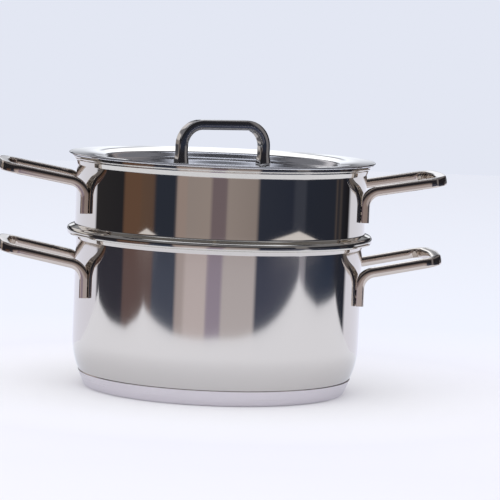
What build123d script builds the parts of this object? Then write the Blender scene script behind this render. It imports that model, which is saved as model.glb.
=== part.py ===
from build123d import *
import math
import os

# Stacked steamer pot in millimetres: pot, steamer insert and sunk lid.
# The base stands on Z = 0, the axis is Z, and the side handles lie along X.

# Clearances between pieces
seat_gap = 0.3
skirt_gap = 0.6
bead_gap = 0.7
weld_gap = 0.6
foot_gap = 0.4

# Pot body, measured on its outside
pot_radius = 121.0
pot_height = 133.0
pot_sheet = 0.8
heel_radius = 65.0
corner_radius = 10.5
seam_height = 14.0

# Capsule base
core_thickness = 7.0
cap_sheet = 0.8
foot_inset = 11.0
foot_edge = 1.8
groove_height = 1.2
core_drop = 1.6

# Rim form that the pot and the steamer share
flare_out = 1.6
flare_height = 3.6
crease_height = 1.1
lip_width = 2.4
lip_height = 3.9
lip_edge = 0.8

# Steamer insert, measured on its outside
steamer_step = 1.4
steamer_rise = 62.2
steamer_sheet = 0.7
skirt_depth = 20.0
skirt_corner = 4.0
bead_out = 6.4
bead_drop = 5.1
bead_rise = 3.0
shoulder_rise = 0.6
nose_radius = 3.2
fold_edge = 1.2

# Perforated floor of the steamer
floor_flange = 11.6
hole_radius = 4.5
hole_margin = 24.0
hole_rings = 4
first_ring_holes = 6

# Lid
lid_overhang = 3.3
lid_sheet = 0.7
hem_width = 3.0
hem_thickness = 2.0
hem_edge = 0.6
flange_slope = 5.0
sink_inset = 34.5
sink_depth = 7.1
step_run = 4.0
step_round = 3.6

# Cast side handles
bar_height = 8.0
bar_width = 8.6
bar_edge = 1.0
handle_span = 85.0
handle_reach = 59.1
grip_bow = 3.0
grip_bow_radius = 150.0
grip_corner_radius = 13.0
leg_bend_radius = 14.0
leg_trim = 1.4
pot_handle_depth = 55.2
pot_leg_length = 26.4
pot_handle_rise = 11.5
steamer_handle_depth = 47.4
steamer_leg_length = 25.0
steamer_handle_rise = 10.0
nugget_radius = 2.5
nugget_low = 4.0
nugget_step = 7.0

# Bridge handle of the lid
bridge_turn = 23.0
bridge_span = 86.7
bridge_height = 39.0
bridge_bar = 8.4
bridge_depth = 9.0
bridge_edge = 1.0
bridge_outer_radius = 22.0
bridge_foot_height = 9.0
bridge_foot_pad = 3.0
bridge_foot_out = 0.8
bridge_nugget_radius = 3.2

# Heights, radii and angles that follow
foot_radius = pot_radius - foot_inset
steamer_radius = pot_radius + steamer_step
bead_radius = steamer_radius + bead_out
pot_underside = cap_sheet + core_thickness
heel_angle = math.asin(1 - (seam_height - pot_underside) / corner_radius)
heel_centre = (pot_radius - heel_radius, seam_height + heel_radius * math.sin(heel_angle))
corner_centre = (
    heel_centre[0] + (heel_radius - corner_radius) * math.cos(heel_angle),
    pot_underside + corner_radius,
)
cap_top = seam_height - groove_height
heel_at_cap = corner_centre[0] + math.sqrt(corner_radius**2 - (corner_centre[1] - cap_top) ** 2)
cap_radius = heel_at_cap + cap_sheet
side_angle = math.atan2(cap_top, cap_radius - foot_radius)
rim_height = lip_height + crease_height + flare_height
steamer_rim = pot_height + steamer_rise
pot_handle_bottom = pot_height - pot_handle_depth
steamer_handle_bottom = steamer_rim - steamer_handle_depth
skirt_radius = pot_radius - pot_sheet - skirt_gap
floor_radius = skirt_radius - floor_flange
hole_pitch = (floor_radius - hole_margin) / hole_rings
floor_underside = pot_height - skirt_depth
bead_inner = pot_radius + flare_out - pot_sheet + lip_width + bead_gap
bead_seat = pot_height + seat_gap
shoulder_top = pot_height + bead_rise
fold_bottom = pot_height - bead_drop
lip_middle = steamer_radius + flare_out - steamer_sheet + lip_width / 2
lid_radius = lip_middle + lip_width / 2 + lid_overhang
sink_radius = lid_radius - sink_inset
flange_tangent = math.tan(math.radians(flange_slope))
flange_seat = steamer_rim + seat_gap + lid_sheet / math.cos(math.radians(flange_slope))
plate_top = steamer_rim - sink_depth

os.makedirs("parts", exist_ok=True)


def rim_path(wall_radius, start, rim_top):
    """Draw the outside line of a wall, its flare and the root of its lip."""
    flare_bottom = rim_top - rim_height
    Polyline(
        (wall_radius, start),
        (wall_radius, flare_bottom),
        (wall_radius + flare_out, flare_bottom + flare_height),
        (wall_radius + flare_out, rim_top - lip_height / 2),
    )


def rim_lip(wall_radius, sheet, rim_top):
    """Add the hemmed edge that closes the top of a wall."""
    middle = wall_radius + flare_out - sheet + lip_width / 2
    with Locations((middle, rim_top - lip_height / 2)):
        lip = Rectangle(lip_width, lip_height)
        chamfer(lip.vertices(), lip_edge)


def heel_path():
    """Draw the outside line of the pot's floor, corner and heel."""
    Line((0, pot_underside), (corner_centre[0], pot_underside))
    CenterArc(corner_centre, corner_radius, -90, 90 - math.degrees(heel_angle))
    CenterArc(heel_centre, heel_radius, -math.degrees(heel_angle), math.degrees(heel_angle))


def flange_top(radius):
    """Give the height of the lid's flange, which rests on the steamer's lip."""
    return flange_seat + (radius - lip_middle) * flange_tangent


def leg_offset(wall_radius):
    """Give the distance from the axis to a side handle's leg, which the wall trims."""
    half_width = (handle_span + bar_width) / 2
    return math.sqrt((wall_radius + weld_gap) ** 2 - half_width**2) + bar_height / 2 - leg_trim


# Pot body: flat floor, rounded heel, upright wall, flare and hemmed lip
with BuildPart() as pot_shell:
    with BuildSketch(Plane.XZ):
        with BuildLine():
            heel_path()
            rim_path(pot_radius, heel_centre[1], pot_height)
            offset(amount=pot_sheet, side=Side.LEFT)
        make_face()
        rim_lip(pot_radius, pot_sheet, pot_height)
    revolve(axis=Axis.Z)
pot_shell.part.label = "pot_shell"
export_step(pot_shell.part, "parts/pot_shell.step")

# Form of the pot's underside, cut from the pieces below it
with BuildPart() as pot_form:
    with BuildSketch(Plane.XZ):
        with BuildLine():
            heel_path()
            Polyline((pot_radius, heel_centre[1]), (0, heel_centre[1]), (0, pot_underside))
        make_face()
    revolve(axis=Axis.Z)

# Steel cap of the base: flat foot, rounded edge and flaring side, with a groove left under the heel
with BuildPart() as base_cap:
    with BuildSketch(Plane.XZ):
        with BuildLine():
            Polyline(
                (0, 0),
                (foot_radius - foot_edge, 0),
                (foot_radius + foot_edge / math.tan(side_angle), foot_edge),
                (cap_radius, cap_top),
            )
            offset(amount=cap_sheet, side=Side.LEFT)
        make_face()
    revolve(axis=Axis.Z)
    add(pot_form.part, mode=Mode.SUBTRACT)
base_cap.part.label = "base_cap"
export_step(base_cap.part, "parts/base_cap.step")

# Aluminium core, pressed between the cap and the pot's floor
core_foot = foot_radius - cap_sheet * math.tan(side_angle / 2)
core_top = cap_top - core_drop
core_rim = core_foot + (core_top - cap_sheet) / math.tan(side_angle)
with BuildPart() as base_core:
    with BuildSketch(Plane.XZ):
        with BuildLine():
            Polyline(
                (0, cap_sheet),
                (core_foot - foot_edge, cap_sheet),
                (core_foot + foot_edge / math.tan(side_angle), cap_sheet + foot_edge),
                (core_rim, core_top),
                (0, core_top),
                (0, cap_sheet),
            )
        make_face()
    revolve(axis=Axis.Z)
    add(pot_form.part, mode=Mode.SUBTRACT)
base_core.part.label = "base_core"
export_step(base_core.part, "parts/base_core.step")

# Steamer body: floor flange, skirt, folded seat bead over the pot's lip, wall, flare and lip
bead_nose = (bead_radius, pot_height + shoulder_rise)
with BuildPart() as steamer_shell:
    with BuildSketch(Plane.XZ) as steamer_profile:
        with BuildLine():
            Polyline(
                (floor_radius, floor_underside),
                (skirt_radius - skirt_corner, floor_underside),
                (skirt_radius, floor_underside + skirt_corner),
                (skirt_radius, bead_seat),
                (bead_inner, bead_seat),
                (bead_inner, fold_bottom + fold_edge),
                (bead_inner + fold_edge, fold_bottom),
                (bead_radius - fold_edge, fold_bottom),
                (bead_radius, fold_bottom + fold_edge),
                bead_nose,
                (steamer_radius, shoulder_top),
            )
            rim_path(steamer_radius, shoulder_top, steamer_rim)
            offset(amount=steamer_sheet, side=Side.LEFT, kind=Kind.INTERSECTION)
        make_face()
        fillet(steamer_profile.vertices().sort_by_distance(bead_nose)[1], nose_radius - steamer_sheet)
        fillet(steamer_profile.vertices().sort_by_distance(bead_nose)[0], nose_radius)
        rim_lip(steamer_radius, steamer_sheet, steamer_rim)
    revolve(axis=Axis.Z)
steamer_shell.part.label = "steamer_shell"
export_step(steamer_shell.part, "parts/steamer_shell.step")

# Perforated floor: rings of round holes about one at the centre
with BuildPart() as steamer_floor:
    with BuildSketch(Plane.XY.offset(floor_underside)):
        Circle(floor_radius)
        Circle(hole_radius, mode=Mode.SUBTRACT)
        for ring in range(1, hole_rings + 1):
            with PolarLocations(ring * hole_pitch, ring * first_ring_holes):
                Circle(hole_radius, mode=Mode.SUBTRACT)
    extrude(amount=steamer_sheet)
steamer_floor.part.label = "steamer_floor"
export_step(steamer_floor.part, "parts/steamer_floor.step")

# Lid: sunk plate, sloping step, flange that falls inwards, and folded edge
step_top = sink_radius + step_run
hem_middle = lid_radius - hem_width / 2
with BuildPart() as lid_shell:
    with BuildSketch(Plane.XZ):
        with BuildLine():
            FilletPolyline(
                (0, plate_top),
                (sink_radius, plate_top),
                (step_top, flange_top(step_top)),
                (hem_middle, flange_top(hem_middle)),
                radius=step_round,
            )
            offset(amount=lid_sheet, side=Side.RIGHT)
        make_face()
        with Locations((hem_middle, flange_top(lid_radius) - hem_thickness / 2)):
            hem = Rectangle(hem_width, hem_thickness)
            chamfer(hem.vertices(), hem_edge)
    revolve(axis=Axis.Z)
lid_shell.part.label = "lid_shell"
export_step(lid_shell.part, "parts/lid_shell.step")

# Side handles: each is one cast loop on two legs that lie along the wall
side_handles = (
    ("pot_handle_right", 1, pot_radius, pot_handle_bottom, pot_leg_length, pot_handle_rise),
    ("pot_handle_left", -1, pot_radius, pot_handle_bottom, pot_leg_length, pot_handle_rise),
    ("steamer_handle_right", 1, steamer_radius, steamer_handle_bottom, steamer_leg_length,
     steamer_handle_rise),
    ("steamer_handle_left", -1, steamer_radius, steamer_handle_bottom, steamer_leg_length,
     steamer_handle_rise),
)
for name, side, wall_radius, bottom, leg_length, rise in side_handles:
    leg = leg_offset(wall_radius)
    grip = wall_radius + handle_reach
    slope = math.tan(math.radians(rise))
    bend = bottom + leg_length
    half_span = handle_span / 2
    corner_height = bend + (grip - leg) * slope
    grip_height = corner_height + grip_bow * slope
    with BuildPart() as side_handle:
        with BuildLine() as loop:
            FilletPolyline(
                (side * leg, half_span, bottom),
                (side * leg, half_span, bend),
                (side * grip, half_span, corner_height),
                (side * (grip + grip_bow), 0, grip_height),
                (side * grip, -half_span, corner_height),
                (side * leg, -half_span, bend),
                (side * leg, -half_span, bottom),
                radius=(
                    leg_bend_radius,
                    grip_corner_radius,
                    grip_bow_radius,
                    grip_corner_radius,
                    leg_bend_radius,
                ),
            )
        with BuildSketch(Plane(origin=loop.line @ 0, z_dir=(0, 0, 1))):
            bar = Rectangle(bar_height, bar_width)
            chamfer(bar.vertices(), bar_edge)
        sweep()
        with Locations((0, 0, bottom)):
            Cylinder(
                wall_radius + weld_gap,
                leg_length * 2,
                align=(Align.CENTER, Align.CENTER, Align.CENTER),
                mode=Mode.SUBTRACT,
            )
    side_handle.part.label = name
    export_step(side_handle.part, f"parts/{name}.step")

# Projection welds: two nuggets between each leg and the wall
weld_groups = (
    ("pot_handle_welds", pot_radius, pot_handle_bottom, pot_leg_length),
    ("steamer_handle_welds", steamer_radius, steamer_handle_bottom, steamer_leg_length),
)
for name, wall_radius, bottom, leg_length in weld_groups:
    angle = math.degrees(math.asin(handle_span / 2 / (wall_radius + weld_gap)))
    with BuildPart() as weld_ring:
        with BuildSketch(Plane.XY.offset(bottom)):
            Circle(wall_radius + weld_gap)
            Circle(wall_radius, mode=Mode.SUBTRACT)
        extrude(amount=leg_length)
    with BuildPart() as welds:
        for direction in (angle, -angle, 180 + angle, 180 - angle):
            outward = Vector(1, 0, 0).rotate(Axis.Z, direction)
            for rise in (nugget_low, nugget_low + nugget_step):
                centre = outward * wall_radius + Vector(0, 0, bottom + rise)
                with BuildSketch(Plane(origin=centre, z_dir=outward)):
                    Circle(nugget_radius)
                extrude(amount=weld_gap * 2, both=True)
        add(weld_ring.part, mode=Mode.INTERSECT)
    welds.part.label = name
    export_step(welds.part, f"parts/{name}.step")

# Bridge handle: one bent bar on two flared feet, set down on the plate
foot_middle = (bridge_span - bridge_bar) / 2
foot_bottom = plate_top + foot_gap
bar_middle = plate_top + bridge_height - bridge_bar / 2
with BuildPart() as bridge_form:
    with BuildLine() as bridge_line:
        FilletPolyline(
            (-foot_middle, 0, foot_bottom),
            (-foot_middle, 0, bar_middle),
            (foot_middle, 0, bar_middle),
            (foot_middle, 0, foot_bottom),
            radius=bridge_outer_radius - bridge_bar / 2,
        )
    with BuildSketch(Plane(origin=bridge_line.line @ 0, z_dir=(0, 0, 1))):
        bar = Rectangle(bridge_bar, bridge_depth)
        chamfer(bar.vertices(), bridge_edge)
    sweep()
    for side in (-1, 1):
        foot = Plane(origin=(side * foot_middle, 0, foot_bottom))
        for height, spread in (
            (0, bridge_foot_out),
            (bridge_foot_pad, bridge_foot_out),
            (bridge_foot_height, 0),
        ):
            with BuildSketch(foot.offset(height)):
                section = Rectangle(bridge_bar + spread * 2, bridge_depth + spread * 2)
                chamfer(section.vertices(), bridge_edge)
        loft(ruled=True)
with BuildPart() as lid_handle:
    add(bridge_form.part, rotation=(0, 0, bridge_turn))
lid_handle.part.label = "lid_handle"
export_step(lid_handle.part, "parts/lid_handle.step")

# Projection welds under the bridge handle's feet
foot_direction = Vector(foot_middle, 0, 0).rotate(Axis.Z, bridge_turn)
with BuildPart() as lid_handle_welds:
    with BuildSketch(Plane.XY.offset(plate_top)):
        with Locations((foot_direction.X, foot_direction.Y), (-foot_direction.X, -foot_direction.Y)):
            Circle(bridge_nugget_radius)
    extrude(amount=foot_gap)
lid_handle_welds.part.label = "lid_handle_welds"
export_step(lid_handle_welds.part, "parts/lid_handle_welds.step")
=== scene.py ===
import math

import bpy
from mathutils import Matrix, Vector


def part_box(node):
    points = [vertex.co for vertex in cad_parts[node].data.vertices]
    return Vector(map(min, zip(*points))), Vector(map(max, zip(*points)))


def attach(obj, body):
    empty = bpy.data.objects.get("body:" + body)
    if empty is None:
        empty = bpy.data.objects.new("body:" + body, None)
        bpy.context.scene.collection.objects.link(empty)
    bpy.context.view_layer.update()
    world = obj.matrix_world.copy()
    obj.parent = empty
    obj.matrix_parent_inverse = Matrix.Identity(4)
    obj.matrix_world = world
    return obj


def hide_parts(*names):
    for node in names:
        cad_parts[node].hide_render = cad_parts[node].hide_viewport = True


# Steamer pot in polished steel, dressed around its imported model. Lengths are in metres.
MM = 0.001

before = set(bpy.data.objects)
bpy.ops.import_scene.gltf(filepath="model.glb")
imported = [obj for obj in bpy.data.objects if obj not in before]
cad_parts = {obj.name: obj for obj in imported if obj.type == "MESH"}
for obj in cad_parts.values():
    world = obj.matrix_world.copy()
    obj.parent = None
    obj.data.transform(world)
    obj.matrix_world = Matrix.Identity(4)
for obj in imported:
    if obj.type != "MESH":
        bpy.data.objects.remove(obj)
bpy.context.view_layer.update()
bpy.ops.object.select_all(action="DESELECT")

# Clearances
seat_gap = 0.3 * MM
skirt_gap = 0.6 * MM
bead_gap = 0.7 * MM
weld_gap = 0.6 * MM
foot_gap = 0.4 * MM

# Pot and its base
pot_radius = 121.0 * MM
pot_height = 133.0 * MM
pot_sheet = 0.8 * MM
heel_radius = 65.0 * MM
corner_radius = 10.5 * MM
seam_height = 14.0 * MM
pot_underside = 7.8 * MM
foot_radius = 110.0 * MM
foot_round = 2.5 * MM
cap_sheet = 0.8 * MM
groove_height = 1.2 * MM

# Rim form of pot and steamer
flare_out = 1.6 * MM
flare_height = 3.6 * MM
flare_round = 1.2 * MM
crease_height = 1.1 * MM
crease_round = 0.2 * MM
lip_width = 2.4 * MM
lip_height = 3.9 * MM
lip_round = 1.1 * MM

# Steamer
steamer_radius = 122.4 * MM
steamer_rim = pot_height + 62.2 * MM
steamer_sheet = 0.7 * MM
skirt_depth = 20.0 * MM
skirt_corner = 4.0 * MM
bead_radius = 128.8 * MM
bead_drop = 5.1 * MM
bead_rise = 3.0 * MM
shoulder_rise = 0.6 * MM
nose_radius = 3.2 * MM
fold_round = 1.7 * MM
fold_corner = 0.8 * MM
shoulder_round = 1.2 * MM
floor_radius = 108.0 * MM

# Lid
lid_radius = 129.0 * MM
lid_sheet = 0.7 * MM
hem_width = 3.0 * MM
hem_thickness = 2.0 * MM
hem_round = 0.95 * MM
flange_slope = math.radians(5.0)
flange_bend = 113.0 * MM
flange_bulge = 0.6 * MM
flange_bend_round = 120.0 * MM
sink_radius = 94.5 * MM
plate_top = steamer_rim - 7.1 * MM
step_run = 4.0 * MM
step_round = 3.6 * MM

# Side handles
bar_height = 8.0 * MM
bar_width = 8.6 * MM
bar_round = 1.0 * MM
flat_crown = math.radians(2.5)
side_crown = math.radians(8.0)
handle_span = 85.0 * MM
handle_reach = 59.1 * MM
grip_bow = 3.0 * MM
grip_bow_radius = 150.0 * MM
grip_corner_radius = 13.0 * MM
leg_bend_radius = 14.0 * MM
leg_trim = 1.4 * MM
pot_handle_rise = math.radians(11.5)
pot_leg_length = 26.4 * MM
steamer_handle_rise = math.radians(10.0)
steamer_leg_length = 25.0 * MM

# Bridge handle of the lid
bridge_turn = math.radians(23.0)
bridge_span = 86.7 * MM
bridge_height = 39.0 * MM
bridge_bar = 8.4 * MM
bridge_depth = 9.0 * MM
bridge_outer_radius = 22.0 * MM
bridge_foot_height = 9.0 * MM
bridge_foot_pad = 3.0 * MM
bridge_foot_out = 0.8 * MM

# Fineness of the turned and bent forms
TURN_STEPS = 192
WALL_CUTTER_STEPS = 384
WALL_CUTTER_LEGS = 4
ARC_STEP = math.radians(7.5)
LONG_ARC = 30 * MM
LONG_ARC_STEP = math.radians(2.0)
FEWEST_ARC_STEPS = 2
LEAST_ROUND = 0.1 * MM
GUARD = 0.5 * MM
GUARDED_RUN = 4 * GUARD
BEND_STEPS = 16
BOW_STEPS = 4
FACE_STEPS = 3
EDGE_STEPS = 4
MERGE = 0.002 * MM
MIRROR_MERGE = 0.3 * MM
SMOOTH_ANGLE = math.radians(32)


def direction(start, end):
    """Give the unit direction from one corner to the next."""
    dx, dz = end[0] - start[0], end[1] - start[1]
    length = math.hypot(dx, dz)
    return dx / length, dz / length


def beside(corners, distance):
    """Shift a path of corners to its left by a distance, keeping its bends concentric."""
    shifted = []
    last = len(corners) - 1
    for i, (x, z, radius) in enumerate(corners):
        inward = direction(corners[max(i - 1, 0)], corners[max(i, 1)])
        outward = direction(corners[min(i, last - 1)], corners[min(i + 1, last)])
        turn = inward[0] * outward[1] - inward[1] * outward[0]
        share = distance / (1 + inward[0] * outward[0] + inward[1] * outward[1])
        x -= (inward[1] + outward[1]) * share
        z += (inward[0] + outward[0]) * share
        if radius:
            radius = max(radius - distance * math.copysign(1, turn), LEAST_ROUND)
        shifted.append((x, z, radius))
    return shifted


def arc_points(before, corner, after):
    """Round one corner: give the points of the arc that fits into it."""
    x, z, radius = corner
    d_in, d_out = direction(before, corner), direction(corner, after)
    turn = math.acos(max(-1, min(1, d_in[0] * d_out[0] + d_in[1] * d_out[1])))
    side = math.copysign(1, d_in[0] * d_out[1] - d_in[1] * d_out[0])
    back = radius * math.tan(turn / 2)
    start = Vector((x - d_in[0] * back, z - d_in[1] * back))
    centre = start + Vector((-d_in[1], d_in[0])) * radius * side
    step = LONG_ARC_STEP if radius > LONG_ARC else ARC_STEP
    count = max(FEWEST_ARC_STEPS, math.ceil(turn / step))
    points = []
    for i in range(count + 1):
        points.append(centre + Matrix.Rotation(side * turn * i / count, 2) @ (start - centre))
    return points


def outline(corners, closed=False):
    """Turn corners with radii into points, with guard points beside each arc on long straight runs."""
    rounded = []
    count = len(corners)
    for i, corner in enumerate(corners):
        inner = closed or 0 < i < count - 1
        if corner[2] and inner:
            rounded.append(arc_points(corners[i - 1], corner, corners[(i + 1) % count]))
        else:
            rounded.append([Vector(corner[:2])])
    points = []
    for i, arc in enumerate(rounded):
        points += arc
        if i == count - 1 and not closed:
            break
        start, end = arc[-1], rounded[(i + 1) % count][0]
        run = end - start
        if run.length > GUARDED_RUN:
            points += [start + run.normalized() * GUARD, end - run.normalized() * GUARD]
    return points


def draw(points, to_world):
    """Draw a chain of edges in edit mode by extruding a vertex from point to point."""
    places = [to_world(point) for point in points]
    bpy.ops.mesh.primitive_plane_add(size=MM, location=places[0])
    bpy.ops.object.mode_set(mode="EDIT")
    bpy.ops.mesh.select_all(action="SELECT")
    bpy.ops.mesh.merge(type="CENTER")
    for before, after in zip(places, places[1:]):
        bpy.ops.mesh.extrude_vertices_move(TRANSFORM_OT_translate={"value": after - before})
    return bpy.context.object


def upright(point):
    """Stand a profile point, radius and height, in the plane through the axis."""
    return Vector((point[0], 0, point[1]))


def finish_mesh(name):
    """Close edit mode, put the place in the mesh and shade the piece by its edges' angles."""
    bpy.ops.mesh.select_all(action="SELECT")
    bpy.ops.mesh.remove_doubles(threshold=MERGE)
    bpy.ops.mesh.normals_make_consistent(inside=False)
    bpy.ops.object.mode_set(mode="OBJECT")
    piece = bpy.context.object
    piece.name = name
    piece.data.name = name
    bpy.ops.object.transform_apply(location=True, rotation=True, scale=True)
    bpy.ops.object.shade_smooth_by_angle(angle=SMOOTH_ANGLE)
    return piece


def turned(name, corners, closed=False):
    """Spin a profile of corners about the axis, as on a lathe."""
    points = outline(corners, closed)
    if closed:
        points.append(points[0])
    draw(points, upright)
    bpy.ops.mesh.select_all(action="SELECT")
    bpy.ops.mesh.spin(steps=TURN_STEPS, angle=math.tau, center=(0, 0, 0), axis=(0, 0, 1))
    return finish_mesh(name)


def apply_all(piece):
    """Apply every modifier of a piece in turn."""
    bpy.context.view_layer.objects.active = piece
    for modifier in list(piece.modifiers):
        bpy.ops.object.modifier_apply(modifier=modifier.name)


def rim_corners(radius, rim_top):
    """Corners of a wall's flare, from its foot to the crease under the lip."""
    foot = rim_top - lip_height - crease_height - flare_height
    return [
        (radius, foot, flare_round),
        (radius + flare_out, foot + flare_height, flare_round),
        (radius + flare_out, rim_top - lip_height, crease_round),
    ]


def lip_corners(radius, sheet, rim_top):
    """Corners of the hemmed lip that closes a wall."""
    inside = radius + flare_out - sheet
    return [
        (inside + lip_width, rim_top - lip_height, lip_round),
        (inside + lip_width, rim_top, lip_round),
        (inside, rim_top, lip_round),
    ]


def vessel(name, base, radius, sheet, rim_top):
    """Turn a sheet vessel from the corners of its outside, with a hemmed lip and perhaps an open bottom."""
    outside = base + rim_corners(radius, rim_top)
    inside = beside(outside, sheet)[:-1]
    open_bottom = base[0][0] > 0
    return turned(name, outside + lip_corners(radius, sheet, rim_top) + inside[::-1], closed=open_bottom)


# Pot body
heel_angle = math.asin(1 - (seam_height - pot_underside) / corner_radius)
heel_centre_height = seam_height + heel_radius * math.sin(heel_angle)
join = Vector((
    pot_radius - heel_radius + heel_radius * math.cos(heel_angle),
    heel_centre_height - heel_radius * math.sin(heel_angle),
))
up_heel = Vector((math.sin(heel_angle), math.cos(heel_angle)))
corner_point = join - up_heel * ((join.y - pot_underside) / up_heel.y)
heel_point = join + up_heel * ((pot_radius - join.x) / up_heel.x)
pot_body = vessel(
    "pot_body",
    [
        (0, pot_underside, 0),
        (corner_point.x, corner_point.y, corner_radius),
        (heel_point.x, heel_point.y, heel_radius),
    ],
    pot_radius, pot_sheet, pot_height,
)
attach(pot_body, "pot")
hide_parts("pot_shell")

# Steel cap of the base
cap_top = seam_height - groove_height
cap_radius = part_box("base_cap")[1].x
cap_path = [(0, 0, 0), (foot_radius, 0, foot_round), (cap_radius, cap_top, 0)]
base_plate = turned("base_plate", cap_path + beside(cap_path, cap_sheet)[::-1])
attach(base_plate, "pot")
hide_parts("base_cap")

# Steamer body with its folded seat bead
skirt_radius = pot_radius - pot_sheet - skirt_gap
bead_inner = pot_radius + flare_out - pot_sheet + lip_width + bead_gap
fold_bottom = pot_height - bead_drop
floor_underside = pot_height - skirt_depth
steamer_body = vessel(
    "steamer_body",
    [
        (floor_radius, floor_underside, 0),
        (skirt_radius, floor_underside, skirt_corner),
        (skirt_radius, pot_height + seat_gap, fold_corner),
        (bead_inner, pot_height + seat_gap, fold_corner),
        (bead_inner, fold_bottom, fold_round),
        (bead_radius, fold_bottom, fold_round),
        (bead_radius, pot_height + shoulder_rise, nose_radius),
        (steamer_radius, pot_height + bead_rise, shoulder_round),
    ],
    steamer_radius, steamer_sheet, steamer_rim,
)
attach(steamer_body, "steamer")
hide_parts("steamer_shell")

# Lid with its sunk plate, sloping flange and folded edge
lip_middle = steamer_radius + flare_out - steamer_sheet + lip_width / 2
flange_seat = steamer_rim + seat_gap + lid_sheet / math.cos(flange_slope)


def flange_top(radius):
    """Height of the lid's flange at a radius."""
    return flange_seat + (radius - lip_middle) * math.tan(flange_slope)


step_top = sink_radius + step_run
hem_inner = lid_radius - hem_width
hem_bottom = flange_top(lid_radius) - hem_thickness
lid_path = [
    (0, plate_top, 0),
    (sink_radius, plate_top, step_round),
    (step_top, flange_top(step_top), step_round),
    (flange_bend, flange_top(flange_bend) + flange_bulge, flange_bend_round),
    (lid_radius, flange_top(lid_radius), hem_round),
]
hem_path = [
    (lid_radius, hem_bottom, hem_round),
    (hem_inner, hem_bottom, hem_round / 2),
    (hem_inner, flange_top(hem_inner) - lid_sheet / math.cos(flange_slope), crease_round),
]
lid_underside = beside(lid_path, -lid_sheet)[-2::-1]
lid_panel = turned("lid_panel", lid_path + hem_path + lid_underside)
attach(lid_panel, "lid")
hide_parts("lid_shell")


def swing_end(steps, angle, centre, axis):
    """Carry the selected end face round an arc, counter-clockwise about the axis."""
    bpy.ops.mesh.spin(steps=steps, angle=-angle, center=centre, axis=axis)


def push_end(vector):
    """Carry the selected end face straight on."""
    bpy.ops.mesh.extrude_region_move(TRANSFORM_OT_translate={"value": vector})


def crowned_section(width, depth):
    """Points of a bar's section: four faces that bulge a little, with rounded edges between them."""
    half_width, half_depth = width / 2, depth / 2
    flat_sine, flat_sag = math.sin(flat_crown), 1 - math.cos(flat_crown)
    side_sine, side_sag = math.sin(side_crown), 1 - math.cos(side_crown)
    flat_reach = half_width - bar_round * (1 - flat_sag - side_sine)
    side_reach = half_depth - bar_round * (1 - side_sag - flat_sine)
    share = flat_sag * side_sag - flat_sine * side_sine
    flat_radius = (side_sag * flat_reach - side_sine * side_reach) / share
    side_radius = (flat_sag * side_reach - flat_sine * flat_reach) / share
    quarter = []
    for i in range(FACE_STEPS + 1):
        tilt = flat_crown * i / FACE_STEPS
        quarter.append((half_width - flat_radius * (1 - math.cos(tilt)), flat_radius * math.sin(tilt)))
    edge_centre = Vector(quarter[-1]) - bar_round * Vector((math.cos(flat_crown), flat_sine))
    edge_turn = math.pi / 2 - flat_crown - side_crown
    for i in range(1, EDGE_STEPS + 1):
        tilt = flat_crown + edge_turn * i / EDGE_STEPS
        quarter.append(edge_centre + bar_round * Vector((math.cos(tilt), math.sin(tilt))))
    for i in range(FACE_STEPS - 1, -1, -1):
        tilt = side_crown * i / FACE_STEPS
        quarter.append((side_radius * math.sin(tilt), half_depth - side_radius * (1 - math.cos(tilt))))
    left = [(-x, y) for x, y in quarter[-2::-1]]
    half = [Vector(point) for point in quarter + left]
    return half + [-point for point in half[1:-1]]


def start_bar(centre, width, depth):
    """Draw the section of a bar, level, as the face that its ways are pushed from."""
    draw(crowned_section(width, depth), lambda point: centre + Vector((*point, 0)))
    bpy.ops.mesh.select_all(action="SELECT")
    bpy.ops.mesh.edge_face_add()


def finish_bar(name, axis):
    """Take off the last end face and mirror the half bar along an axis."""
    bpy.ops.mesh.delete(type="ONLY_FACE")
    piece = finish_mesh(name)
    mirror = piece.modifiers.new("other half", "MIRROR")
    mirror.use_axis = [letter == axis for letter in "XYZ"]
    mirror.use_clip = True
    mirror.merge_threshold = MIRROR_MERGE
    return piece


def trim_to_wall(piece, wall_radius, height, middle):
    """Cut a handle's legs to the wall's curve, with the thin gap for their welds."""
    bpy.ops.mesh.primitive_cylinder_add(
        vertices=WALL_CUTTER_STEPS, radius=wall_radius + weld_gap, depth=height, location=(0, 0, middle)
    )
    wall = bpy.context.object
    trim = piece.modifiers.new("trim to the wall", "BOOLEAN")
    trim.object = wall
    trim.operation = "DIFFERENCE"
    trim.solver = "EXACT"
    bpy.ops.object.select_all(action="DESELECT")
    piece.select_set(True)
    apply_all(piece)
    bpy.data.objects.remove(wall)
    bpy.ops.object.shade_smooth_by_angle(angle=SMOOTH_ANGLE)


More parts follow.
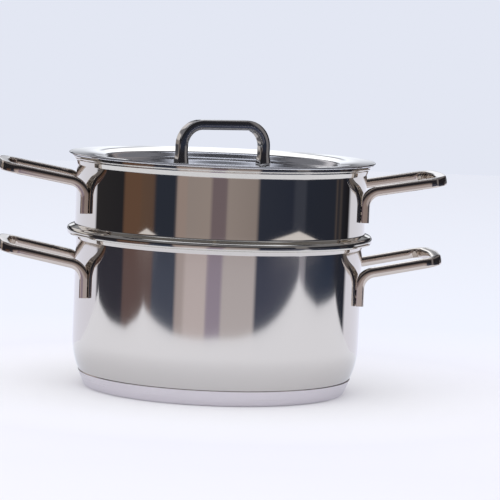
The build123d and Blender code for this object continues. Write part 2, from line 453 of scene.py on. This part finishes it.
def loop_handle(name, wall_radius, bottom, rise, leg_length):
    """Bend half of a cast loop handle from its leg to the middle of its grip, then mirror it."""
    half_width = (handle_span + bar_width) / 2
    half_span = handle_span / 2
    leg = math.sqrt((wall_radius + weld_gap) ** 2 - half_width**2) + bar_height / 2 - leg_trim
    grip = wall_radius + handle_reach
    bend_turn = math.pi / 2 - rise
    bend_back = leg_bend_radius * math.tan(bend_turn / 2)
    along = Vector((math.cos(rise), 0, math.sin(rise)))
    across = Vector((0, -1, 0))
    normal = Vector((-math.sin(rise), 0, math.cos(rise)))
    bow = grip_bow / math.cos(rise)
    bow_turn = math.atan2(bow, half_span)
    corner_turn = math.pi / 2 - bow_turn
    corner_back = grip_corner_radius * math.tan(corner_turn / 2)

    # Leg, from the foot up to its bend
    start_bar(Vector((leg, half_span, bottom)), bar_height, bar_width)
    push_end((0, 0, leg_length - bend_back))
    bend_start = Vector((leg, half_span, bottom + leg_length - bend_back))
    swing_end(BEND_STEPS, bend_turn, bend_start + Vector((leg_bend_radius, 0, 0)), (0, 1, 0))

    # Arm, out to the corner of the grip
    bend_point = Vector((leg, half_span, bottom + leg_length))
    grip_corner = bend_point + along * ((grip - leg) / math.cos(rise))
    push_end(along * ((grip_corner - bend_point).length - bend_back - corner_back))
    corner_start = grip_corner - along * corner_back
    swing_end(BEND_STEPS, -corner_turn, corner_start + across * grip_corner_radius, normal)

    # Grip, slightly bowed, to its middle
    grip_way = along * math.sin(bow_turn) + across * math.cos(bow_turn)
    half_grip = math.hypot(half_span, bow)
    bow_length = half_grip - corner_back - grip_bow_radius * math.tan(bow_turn)
    bow_start = grip_corner + grip_way * (corner_back + bow_length)
    push_end(grip_way * bow_length)
    bow_side = across * math.sin(bow_turn) - along * math.cos(bow_turn)
    swing_end(BOW_STEPS, -bow_turn, bow_start + bow_side * grip_bow_radius, normal)
    piece = finish_bar(name, "Y")
    trim_to_wall(piece, wall_radius, leg_length * WALL_CUTTER_LEGS, bottom)
    return piece


def mirrored_copy(piece, name):
    """Copy a handle to the other side, with its own mesh, turned right side out again."""
    bpy.ops.object.select_all(action="DESELECT")
    piece.select_set(True)
    bpy.context.view_layer.objects.active = piece
    bpy.ops.object.duplicate()
    other = bpy.context.object
    other.name = name
    other.data.name = name
    other.scale.x = -1
    bpy.ops.object.transform_apply(location=True, rotation=True, scale=True)
    bpy.ops.object.mode_set(mode="EDIT")
    bpy.ops.mesh.select_all(action="SELECT")
    bpy.ops.mesh.normals_make_consistent(inside=False)
    bpy.ops.object.mode_set(mode="OBJECT")
    return other


# Loop handles of pot and steamer
loops = {}
for body, wall_radius, rise, leg_length in (
    ("pot", pot_radius, pot_handle_rise, pot_leg_length),
    ("steamer", steamer_radius, steamer_handle_rise, steamer_leg_length),
):
    node = f"{body}_handle_right"
    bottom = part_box(node)[0].z
    right = loop_handle(f"{body}_loop_right", wall_radius, bottom, rise, leg_length)
    left = mirrored_copy(right, f"{body}_loop_left")
    for piece, node in ((right, f"{body}_handle_right"), (left, f"{body}_handle_left")):
        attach(piece, body)
        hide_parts(node)
        loops[node] = piece


# Bridge handle: half of one bent bar on a flared foot, then mirrored
foot_bottom = plate_top + foot_gap
foot_middle = (bridge_span - bridge_bar) / 2
foot_width = bridge_bar + bridge_foot_out * 2
foot_depth = bridge_depth + bridge_foot_out * 2
foot_centre = Vector((foot_middle, 0, foot_bottom))
foot_top = foot_centre + Vector((0, 0, bridge_foot_height))
bridge_bend_radius = bridge_outer_radius - bridge_bar / 2
bridge_bend_start = foot_centre + Vector((0, 0, bridge_height - foot_gap - bridge_outer_radius))
start_bar(foot_centre, foot_width, foot_depth)
push_end((0, 0, bridge_foot_pad))
push_end((0, 0, bridge_foot_height - bridge_foot_pad))
narrowing = (bridge_bar / foot_width, bridge_depth / foot_depth, 1)
bpy.ops.transform.resize(value=narrowing, center_override=foot_top)
push_end((0, 0, bridge_bend_start.z - foot_bottom - bridge_foot_height))
swing_end(BEND_STEPS, -math.pi / 2, bridge_bend_start - Vector((bridge_bend_radius, 0, 0)), (0, 1, 0))
push_end((bridge_bend_radius - foot_middle, 0, 0))
lid_bridge = finish_bar("lid_bridge", "X")
apply_all(lid_bridge)
bpy.ops.object.shade_smooth_by_angle(angle=SMOOTH_ANGLE)
lid_bridge.rotation_euler.z = bridge_turn
bpy.ops.object.transform_apply(location=True, rotation=True, scale=True)
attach(lid_bridge, "lid")
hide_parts("lid_handle")


# Finishes: polish is a Principled roughness, spread how far it varies, and marks are counted per metre
MARK_SCALE = 2600.0
BASE_MARK_SCALE = 3500.0
MARK_STRETCH = 14.0
MARK_DETAIL = 3.0
MARK_DEPTH = 0.01 * MM
INSIDE_FACING = -0.02
GRAIN_DETAIL = 2.0
GRAIN_DEPTH = 0.02 * MM
CASTING_GRAIN = 240.0
ROUGH_GRAIN = 900.0
BRUSH_STRETCH = 0.85
BRUSH_TURN = 0.25


def link_or_set(tree, socket, value):
    """Feed a socket from another socket or with a plain value."""
    if isinstance(value, bpy.types.NodeSocket):
        tree.links.new(value, socket)
    else:
        socket.default_value = value


def math_node(tree, operation, first, second=0.0):
    """Add a maths node whose inputs are sockets or plain numbers."""
    node = tree.nodes.new("ShaderNodeMath")
    node.operation = operation
    link_or_set(tree, node.inputs[0], first)
    link_or_set(tree, node.inputs[1], second)
    return node.outputs[0]


def add(tree, first, second):
    """Sum of two values."""
    return math_node(tree, "ADD", first, second)


def subtract(tree, first, second):
    """Difference of two values."""
    return math_node(tree, "SUBTRACT", first, second)


def multiply(tree, first, second):
    """Product of two values."""
    return math_node(tree, "MULTIPLY", first, second)


def absolute(tree, value):
    """Size of a value without its sign."""
    return math_node(tree, "ABSOLUTE", value)


def vector_value(tree, operation, first, second=(0, 0, 0)):
    """Add a vector node that gives one value, such as a length or a dot product."""
    node = tree.nodes.new("ShaderNodeVectorMath")
    node.operation = operation
    tree.links.new(first, node.inputs[0])
    link_or_set(tree, node.inputs[1], second)
    return node.outputs["Value"]


def combine(tree, *values):
    """Make a vector of up to three values."""
    node = tree.nodes.new("ShaderNodeCombineXYZ")
    for socket, value in zip(node.inputs, values):
        link_or_set(tree, socket, value)
    return node.outputs[0]


def separate(tree, vector):
    """Split a vector into its three values."""
    node = tree.nodes.new("ShaderNodeSeparateXYZ")
    tree.links.new(vector, node.inputs[0])
    return node.outputs


def noise_pattern(tree, vector, scale, detail):
    """Noise between nought and one at a place."""
    node = tree.nodes.new("ShaderNodeTexNoise")
    tree.links.new(vector, node.inputs["Vector"])
    link_or_set(tree, node.inputs["Scale"], scale)
    node.inputs["Detail"].default_value = detail
    return node.outputs["Fac"]


def surface_group(name, values):
    """Start a group that gives roughness and relief height: its tree, given values and results."""
    group = bpy.data.node_groups.new(name, "ShaderNodeTree")
    for socket_name, default in values.items():
        socket = group.interface.new_socket(socket_name, in_out="INPUT", socket_type="NodeSocketFloat")
        socket.default_value = default
    for socket_name in ("Roughness", "Height"):
        group.interface.new_socket(socket_name, in_out="OUTPUT", socket_type="NodeSocketFloat")
    given = group.nodes.new("NodeGroupInput").outputs
    results = group.nodes.new("NodeGroupOutput").inputs
    return group, given, results


def spread_polish(tree, polish, pattern, spread):
    """Vary a polish about its value with a pattern."""
    return add(tree, polish, multiply(tree, subtract(tree, pattern, 0.5), spread))


def build_turning_marks():
    """Group of fine marks that run round the axis, with satin inside faces."""
    group, given, results = surface_group(
        "turning_marks", {"Polish": 0.05, "Inside Polish": 0.2, "Spread": 0.03, "Line Scale": MARK_SCALE}
    )
    place = group.nodes.new("ShaderNodeTexCoord").outputs["Object"]
    x, y, z = separate(group, place)
    radius = math_node(group, "SQRT", add(group, multiply(group, x, x), multiply(group, y, y)))
    run = multiply(group, add(group, radius, z), given["Line Scale"])
    along_marks = combine(group, multiply(group, x, MARK_STRETCH), multiply(group, y, MARK_STRETCH), run)
    marks = noise_pattern(group, along_marks, 1.0, MARK_DETAIL)
    normal = group.nodes.new("ShaderNodeNewGeometry").outputs["Normal"]
    facing = vector_value(group, "DOT_PRODUCT", normal, combine(group, x, y))
    inside = math_node(group, "LESS_THAN", facing, INSIDE_FACING)
    change = subtract(group, given["Inside Polish"], given["Polish"])
    polish = add(group, given["Polish"], multiply(group, inside, change))
    group.links.new(spread_polish(group, polish, marks, given["Spread"]), results["Roughness"])
    group.links.new(marks, results["Height"])
    return group


def build_fine_grain():
    """Group of faint uneven polish for cast and rough metal."""
    group, given, results = surface_group(
        "fine_grain", {"Polish": 0.08, "Spread": 0.04, "Grain Scale": CASTING_GRAIN}
    )
    place = group.nodes.new("ShaderNodeTexCoord").outputs["Object"]
    grain = noise_pattern(group, place, given["Grain Scale"], GRAIN_DETAIL)
    group.links.new(spread_polish(group, given["Polish"], grain, given["Spread"]), results["Roughness"])
    group.links.new(grain, results["Height"])
    return group


turning_marks = build_turning_marks()
fine_grain = build_fine_grain()


def new_material(name, colour):
    """Start a material with a Principled shader of one colour."""
    material = bpy.data.materials.new(name)
    material.use_nodes = True
    shader = material.node_tree.nodes["Principled BSDF"]
    shader.inputs["Base Color"].default_value = (*colour, 1)
    return material, shader


def metal(name, colour, surface, values, bump, depth):
    """Metal whose roughness and relief come from a surface group with its own values."""
    material, shader = new_material(name, colour)
    tree = material.node_tree
    shader.inputs["Metallic"].default_value = 1.0
    finish = tree.nodes.new("ShaderNodeGroup")
    finish.node_tree = surface
    for socket_name, value in values.items():
        finish.inputs[socket_name].default_value = value
    tree.links.new(finish.outputs["Roughness"], shader.inputs["Roughness"])
    relief = tree.nodes.new("ShaderNodeBump")
    relief.inputs["Strength"].default_value = bump
    relief.inputs["Distance"].default_value = depth
    tree.links.new(finish.outputs["Height"], relief.inputs["Height"])
    tree.links.new(relief.outputs["Normal"], shader.inputs["Normal"])
    return material


def turned_steel(name, colour, polish, inside_polish, spread, bump, scale=MARK_SCALE):
    """Steel with fine turning marks, polished outside and satin inside."""
    values = {"Polish": polish, "Inside Polish": inside_polish, "Spread": spread, "Line Scale": scale}
    return metal(name, colour, turning_marks, values, bump, MARK_DEPTH)


def casting(name, colour, polish, spread, bump, scale=CASTING_GRAIN):
    """Cast metal with a fine grain."""
    values = {"Polish": polish, "Spread": spread, "Grain Scale": scale}
    return metal(name, colour, fine_grain, values, bump, GRAIN_DEPTH)


def brush_along_axis(material):
    """Stretch a material's reflections up and down the wall, as fine marks round it do."""
    tree = material.node_tree
    shader = tree.nodes["Principled BSDF"]
    around = tree.nodes.new("ShaderNodeTangent")
    around.direction_type = "RADIAL"
    around.axis = "Z"
    tree.links.new(around.outputs["Tangent"], shader.inputs["Tangent"])
    shader.inputs["Anisotropic"].default_value = BRUSH_STRETCH
    shader.inputs["Anisotropic Rotation"].default_value = BRUSH_TURN


wall_steel = turned_steel(
    "polished_wall", (0.66, 0.63, 0.57), polish=0.014, inside_polish=0.24, spread=0.008, bump=0.0
)
pot_steel = turned_steel(
    "brushed_wall", (0.68, 0.64, 0.59), polish=0.05, inside_polish=0.24, spread=0.02, bump=0.01
)
brush_along_axis(pot_steel)
lid_steel = turned_steel(
    "polished_lid", (0.62, 0.62, 0.63), polish=0.02, inside_polish=0.2, spread=0.01, bump=0.0
)
cap_steel = turned_steel(
    "satin_base", (0.85, 0.79, 0.79), polish=0.26, inside_polish=0.26, spread=0.1, bump=0.3,
    scale=BASE_MARK_SCALE,
)
loop_steel = casting("polished_casting", (0.60, 0.53, 0.47), polish=0.06, spread=0.03, bump=0.05)
bridge_steel = casting("polished_bridge", (0.62, 0.60, 0.57), polish=0.04, spread=0.02, bump=0.05)
weld_steel = casting("weld_metal", (0.30, 0.29, 0.29), polish=0.5, spread=0.1, bump=0.3, scale=ROUGH_GRAIN)
# Dark colour of the base's aluminium core: painted shade, so that the groove between the cap and the pot's
# heel reads as a dark line
core_painted_shade = casting(
    "core_aluminium", (0.30, 0.30, 0.31), polish=0.45, spread=0.1, bump=0.3, scale=ROUGH_GRAIN
)


def dress(piece, material):
    """Give a piece one material."""
    piece.data.materials.clear()
    piece.data.materials.append(material)


dress(pot_body, pot_steel)
dress(steamer_body, wall_steel)
dress(lid_panel, lid_steel)
dress(base_plate, cap_steel)
dress(lid_bridge, bridge_steel)
for piece in loops.values():
    dress(piece, loop_steel)
for node, material in (
    ("steamer_floor", wall_steel),
    ("base_core", core_painted_shade),
    ("pot_handle_welds", weld_steel),
    ("steamer_handle_welds", weld_steel),
    ("lid_handle_welds", weld_steel),
):
    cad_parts[node].material_slots[0].material = material


# Stage: a white table that the steel reflects, a pale floor for the camera and one soft lamp
VIEW_TURN = math.radians(-5.2)
view_frame = Matrix.Rotation(VIEW_TURN, 4, "Z")
# Corners of the table top in millimetres, to the right of the pot's axis and behind it
table_outline = [
    (-666, -450), (-282, -515), (0, -577), (400, -537), (1029, -500), (917, -324), (820, -126), (868, 90),
    (896, 200), (-860, 200), (-757, 146), (-618, -53), (-551, -207), (-597, -345),
]
STAGE_ROUGHNESS = 0.9
FLOOR_SIZE = 6.0
FLOOR_DROP = 0.02 * MM
# Changes of the floor's colour with distance behind the pot: a step paler towards the pot, painted light
# against the pot's shadow, then darker far behind it; and a paler ring close round the pot, painted light
# that lifts the pot's shadow
floor_changes = [
    (-0.4, -0.2, (0.865, 0.855, 0.905)),
    (0.15, 0.50, (0.80, 0.815, 0.87)),
    (0.5, 2.8, (0.75, 0.762, 0.812)),
]
painted_light_ring = (0.30, 0.14, (0.99, 0.98, 1.0))
lamp_place = Vector((-0.7, -0.9, 1.9))
lamp_size = 1.4
lamp_power = 4.5


def map_range(tree, value, start, end, low=0.0, high=1.0, soft=False):
    """Carry a value from one range to another, held at both ends, evenly or softly."""
    node = tree.nodes.new("ShaderNodeMapRange")
    node.interpolation_type = "SMOOTHSTEP" if soft else "LINEAR"
    for name, number in (("From Min", start), ("From Max", end), ("To Min", low), ("To Max", high)):
        node.inputs[name].default_value = number
    tree.links.new(value, node.inputs["Value"])
    return node.outputs[0]


def mix_colours(tree, share, under, over):
    """Mix two colours, each a socket or a plain colour."""
    node = tree.nodes.new("ShaderNodeMix")
    node.data_type = "RGBA"
    tree.links.new(share, node.inputs["Factor"])
    for socket, colour in ((node.inputs[6], under), (node.inputs[7], over)):
        link_or_set(tree, socket, (*colour, 1) if isinstance(colour, (tuple, list)) else colour)
    return node.outputs[2]


def flat_colour(name, colour):
    """Plain painted surface of the stage."""
    material, shader = new_material(name, colour)
    shader.inputs["Roughness"].default_value = STAGE_ROUGHNESS
    shader.inputs["Specular IOR Level"].default_value = 0.0
    return material


def shade_ground(material, near_colour):
    """Change the floor's colour with its distance behind the pot, and make it paler close round the pot, as
    painted light that lifts the pot's shadow.
    """
    tree = material.node_tree
    place = tree.nodes.new("ShaderNodeTexCoord").outputs["Object"]
    behind = vector_value(tree, "DOT_PRODUCT", place, view_frame.col[1].xyz)
    around = vector_value(tree, "LENGTH", place)
    colour = near_colour
    for start, end, next_colour in floor_changes:
        colour = mix_colours(tree, map_range(tree, behind, start, end), colour, next_colour)
    # Painted light: a pale ring round the pot that lifts its shadow on the floor
    ring_start, ring_end, painted_light_colour = painted_light_ring
    colour = mix_colours(tree, map_range(tree, around, ring_start, ring_end), colour, painted_light_colour)
    tree.links.new(colour, tree.nodes["Principled BSDF"].inputs["Base Color"])


table_white = flat_colour("table_white", (0.86, 0.88, 0.95))
near_floor = (0.825, 0.816, 0.862)
ground_white = flat_colour("ground_white", near_floor)
shade_ground(ground_white, near_floor)

draw([Vector(corner) * MM for corner in table_outline], lambda point: view_frame @ Vector((*point, 0)))
bpy.ops.mesh.select_all(action="SELECT")
bpy.ops.mesh.edge_face_add()
table = finish_mesh("table")
table.visible_camera = False
table.visible_diffuse = False
table.visible_shadow = False
dress(table, table_white)

bpy.ops.mesh.primitive_plane_add(size=FLOOR_SIZE, location=(0, 0, -FLOOR_DROP))
ground = bpy.context.object
ground.name = "ground"
ground.visible_glossy = False
dress(ground, ground_white)

bpy.ops.object.light_add(type="AREA", location=lamp_place)
lamp = bpy.context.object
lamp.name = "soft_lamp"
lamp.data.shape = "DISK"
lamp.data.size = lamp_size
lamp.data.energy = lamp_power
lamp.visible_glossy = False
lamp.rotation_euler = (-lamp_place).to_track_quat("-Z", "Y").to_euler()

# Room that the steel reflects. Azimuths are degrees to the right of the camera, heights degrees above
# level, and colours screen levels, which pass 255 where the room is brighter than white.
PALE = (242, 244, 260)
# Bands round the room below LOW_TOP, as the pot sees them: from, to and the colour, or its two ends
low_bands = [
    (-180, -114, PALE),
    (-112, -83, (59, 59, 71)),
    (-80, -55, (108, 91, 92)),
    (-52.5, -35, (80, 87, 106)),
    (-32.5, -28, (183, 173, 176), (188, 179, 182)),
    (-25, -10, (211, 202, 207)),
    (-8, 2, (164, 155, 176)),
    (4, 28, (201, 196, 202)),
    (31, 66, (76, 81, 101)),
    (68, 72, (156, 157, 172)),
    (74, 104, (55, 64, 85), (50, 60, 81)),
    (107, 121, (45, 49, 62)),
    (125, 180, PALE),
]
# Bands from there up to MIDDLE_TOP, as the steamer sees them
middle_bands = [
    (-180, -116, PALE),
    (-114, -83, (50, 49, 52), (45, 44, 49)),
    (-80, -66, (111, 85, 71)),
    (-64, -54, (107, 85, 73), (103, 83, 74)),
    (-51.5, -35.5, (50, 55, 69)),
    (-33.5, -27, (169, 153, 150)),
    (-25, -8, (164, 153, 152), (167, 155, 153)),
    (-6, 4, (126, 113, 121)),
    (6, 28, (164, 153, 152), (155, 144, 143)),
    (31, 58, (53, 58, 73), (48, 53, 69)),
    (61, 69, (67, 71, 85)),
    (72, 102, (45, 50, 64), (45, 49, 62)),
    (104, 104, (86, 78, 77)),
    (106, 106, (43, 45, 56)),
    (110, 110, (79, 73, 73)),
    (112, 112, (41, 42, 50)),
    (118, 121, (34, 34, 39)),
    (125, 180, PALE),
]
LOW_TOP = -5.12
LOW_SOFT = 0.04
MIDDLE_TOP = -3.3
MIDDLE_SOFT = 0.2
# Small pale peaks low on the steamer's wall: middle, half width and tip
pale_peaks = [(64.8, 20.0, -4.86), (-59.0, 7.0, -4.93)]
PEAK_FOOT = -5.04
PEAK_SOFT = 0.4
peak_pale = (236, 232, 236)
# Above the bands the room darkens, with a grey ring higher up
DARK_HEIGHT = 3.0
high_dark = (44, 44, 50)
upper_grey = (132, 132, 138)
upper_heights = (18, 50)
UPPER_SOFT = 3
# Lit things up there: their azimuths and heights, from and to, softness and colour
high_cards = [
    ((59, 70), (-10, 62), 1.5, (136, 134, 138)),
    ((-6, -3), (30, 62), 1.0, (150, 146, 146)),
    ((147, 157), (16, 44), 2.0, (176, 164, 160)),
    ((-166, -143), (13, 34), 2.0, (235, 232, 236)),
    ((-137, -110), (-10, 8), 2.0, (158, 150, 146)),
    ((-146, -120), (8, 20), 2.0, (232, 228, 228)),
]
# Ceiling panel: degrees from the front over the top, and how far it goes to the sides
panel_pitches = (76, 102)
PANEL_SOFT = 1.5
PANEL_SIDE = 0.52
PANEL_SIDE_SOFT = 0.06
panel_white = (268, 274, 290)
# Bright wall behind the pot, narrower higher up, with a dark shelf that leaves a gap at its middle
rear_azimuths = (120, 170)
rear_narrowing = (0, 4)
rear_heights = (-90, 60)
REAR_SOFT = 2
wall_fade = (-1, 8)
wall_low = (84, 84, 90)
wall_high = (276, 280, 288)
shelf_rise = (7, 9)
shelf_fade = (15, 21)
shelf_gap = (178.4, 179.2)
glare_heights = (9, 24)
glare_white = (310, 310, 310)
# What the camera and the dull surfaces get instead of the room
background = (227, 231, 243)
diffuse_light = (1.06, 1.075, 1.12)


def srgb(*levels):
    """Turn screen levels from 0 to 255 into linear light."""
    return [(v / 255 / 12.92) if v < 10.3 else ((v / 255 + 0.055) / 1.055) ** 2.4 for v in levels]


def step_up(tree, value, start, end):
    """Rise softly from nought to one between two values."""
    return map_range(tree, value, start, end, soft=True)


def between(tree, value, low, high, soft):
    """Mask of one between two values."""
    rise = step_up(tree, value, low - soft, low + soft)
    fall = step_up(tree, value, high - soft, high + soft)
    return subtract(tree, rise, fall)


def paint(tree, under, over, mask):
    """Lay a colour, a socket or plain levels, over another where the mask is one."""
    under, over = (srgb(*colour) if isinstance(colour, tuple) else colour for colour in (under, over))
    return mix_colours(tree, mask, under, over)


def band_ramp(tree, share, bands):
    """Colour ramp round the room."""
    ramp = tree.nodes.new("ShaderNodeValToRGB")
    tree.links.new(share, ramp.inputs[0])
    stops = ramp.color_ramp.elements
    while len(stops) > 1:
        stops.remove(stops[-1])
    places = {}
    for start, end, *colours in bands:
        places[start] = colours[0]
        places[end] = colours[-1]
    first_colour = places.pop(-180)
    stops[0].position = 0
    stops[0].color = (*srgb(*first_colour), 1)
    for angle, levels in places.items():
        stops.new(angle / 360 + 0.5).color = (*srgb(*levels), 1)
    return ramp.outputs[0]


def room_bearings(tree):
    """Measure a ray's way: share of the turn, azimuth, height, pitch from the front, and sideways part."""
    turn = tree.nodes.new("ShaderNodeVectorRotate")
    turn.rotation_type = "Z_AXIS"
    turn.inputs["Angle"].default_value = -VIEW_TURN
    tree.links.new(tree.nodes.new("ShaderNodeTexCoord").outputs["Generated"], turn.inputs["Vector"])
    x, y, z = separate(tree, turn.outputs[0])
    front = multiply(tree, y, -1.0)
    turn_share = math_node(tree, "DIVIDE", math_node(tree, "ARCTAN2", x, front), math.tau)
    azimuth = multiply(tree, turn_share, 360.0)
    height = multiply(tree, math_node(tree, "ARCSINE", z), math.degrees(1))
    pitch = multiply(tree, math_node(tree, "ARCTAN2", z, front), math.degrees(1))
    return add(tree, turn_share, 0.5), azimuth, height, pitch, x


def add_peaks(tree, bands, azimuth, height):
    """Paint the small pale peaks over the middle bands."""
    for centre, half_width, tip in pale_peaks:
        depth = math_node(tree, "DIVIDE", subtract(tree, height, tip), PEAK_FOOT - tip)
        aside = absolute(tree, subtract(tree, azimuth, centre))
        inside = subtract(tree, multiply(tree, depth, half_width), aside)
        bands = paint(tree, bands, peak_pale, step_up(tree, inside, -PEAK_SOFT, PEAK_SOFT))
    return bands


def add_cards(tree, high, azimuth, height, pitch, x):
    """Paint the grey ring, the lit things and the ceiling panel over the upper room."""
    high = paint(tree, high, upper_grey, between(tree, height, *upper_heights, UPPER_SOFT))
    for azimuths, heights, soft, levels in high_cards:
        across = between(tree, azimuth, *azimuths, soft)
        upward = between(tree, height, *heights, soft)
        high = paint(tree, high, levels, multiply(tree, across, upward))
    over_top = between(tree, pitch, *panel_pitches, PANEL_SOFT)
    sideways = between(tree, x, -PANEL_SIDE, PANEL_SIDE, PANEL_SIDE_SOFT)
    return paint(tree, high, panel_white, multiply(tree, over_top, sideways))


def add_rear(tree, high, azimuth, height):
    """Paint the bright wall behind the pot, its dark shelf and the glare in the shelf's gap."""
    edge = map_range(tree, height, *rear_narrowing, *rear_azimuths)
    past_edge = step_up(tree, subtract(tree, absolute(tree, azimuth), edge), -REAR_SOFT, REAR_SOFT)
    rear = multiply(tree, past_edge, between(tree, height, *rear_heights, REAR_SOFT))
    wall = paint(tree, wall_low, wall_high, step_up(tree, height, *wall_fade))
    high = paint(tree, high, wall, rear)
    gap = step_up(tree, absolute(tree, azimuth), *shelf_gap)
    shelf = multiply(tree, step_up(tree, height, *shelf_rise), subtract(tree, 1.0, gap))
    shelf_colour = paint(tree, high_dark, upper_grey, step_up(tree, height, *shelf_fade))
    high = paint(tree, high, shelf_colour, multiply(tree, shelf, rear))
    glare = multiply(tree, rear, between(tree, height, *glare_heights, REAR_SOFT))
    return paint(tree, high, glare_white, multiply(tree, glare, gap))


def lit_background(tree, colour):
    """Light of a plain colour or of a colour socket."""
    node = tree.nodes.new("ShaderNodeBackground")
    link_or_set(tree, node.inputs["Color"], colour)
    return node.outputs[0]


def choose_light(tree, choice, otherwise, chosen):
    """Give one light where the choice is one, and another elsewhere."""
    node = tree.nodes.new("ShaderNodeMixShader")
    for socket, value in zip(node.inputs, (choice, otherwise, chosen)):
        tree.links.new(value, socket)
    return node.outputs[0]


def build_room():
    """World: the room as polished steel sees it, a pale wall for the camera, plain light for the rest."""
    world = bpy.data.worlds.new("room")
    bpy.context.scene.world = world
    world.use_nodes = True
    tree = world.node_tree
    tree.nodes.clear()
    share, azimuth, height, pitch, x = room_bearings(tree)
    middle = band_ramp(tree, share, middle_bands)
    high = paint(tree, middle, high_dark, step_up(tree, height, MIDDLE_TOP, DARK_HEIGHT))
    high = add_cards(tree, high, azimuth, height, pitch, x)
    high = add_rear(tree, high, azimuth, height)
    middle = add_peaks(tree, middle, azimuth, height)
    above_low = step_up(tree, height, LOW_TOP - LOW_SOFT, LOW_TOP + LOW_SOFT)
    lower = paint(tree, band_ramp(tree, share, low_bands), middle, above_low)
    above_middle = step_up(tree, height, MIDDLE_TOP - MIDDLE_SOFT, MIDDLE_TOP + MIDDLE_SOFT)
    room = lit_background(tree, paint(tree, lower, high, above_middle))
    plain = lit_background(tree, (*diffuse_light, 1))
    wall = lit_background(tree, (*srgb(*background), 1))
    ray = tree.nodes.new("ShaderNodeLightPath").outputs
    unseen = choose_light(tree, ray["Is Glossy Ray"], plain, room)
    result = tree.nodes.new("ShaderNodeOutputWorld")
    tree.links.new(choose_light(tree, ray["Is Camera Ray"], unseen, wall), result.inputs[0])


build_room()

# Camera at the photograph's place
CAMERA_DISTANCE = 2.330
CAMERA_ELEVATION = math.radians(4.51)
CAMERA_ROLL = math.radians(2.39)
SENSOR_WIDTH = 36
FOCAL_PIXELS = 2758.18
PICTURE_PIXELS = 500
mid_height = 150 * MM
aim = Vector((26.32 * MM, 0, 118.15 * MM))
camera_place = view_frame @ Vector((
    0,
    -CAMERA_DISTANCE * math.cos(CAMERA_ELEVATION),
    mid_height + CAMERA_DISTANCE * math.sin(CAMERA_ELEVATION),
))
camera_data = bpy.data.cameras.new("camera")
camera_data.sensor_width = SENSOR_WIDTH
camera_data.lens = SENSOR_WIDTH * FOCAL_PIXELS / PICTURE_PIXELS
camera = bpy.data.objects.new("camera", camera_data)
bpy.context.scene.collection.objects.link(camera)
gaze = (view_frame @ aim - camera_place).to_track_quat("-Z", "Y").to_matrix().to_4x4()
camera.matrix_world = Matrix.Translation(camera_place) @ gaze @ Matrix.Rotation(CAMERA_ROLL, 4, "Z")
bpy.context.scene.camera = camera

bpy.context.scene.view_settings.view_transform = "Standard"
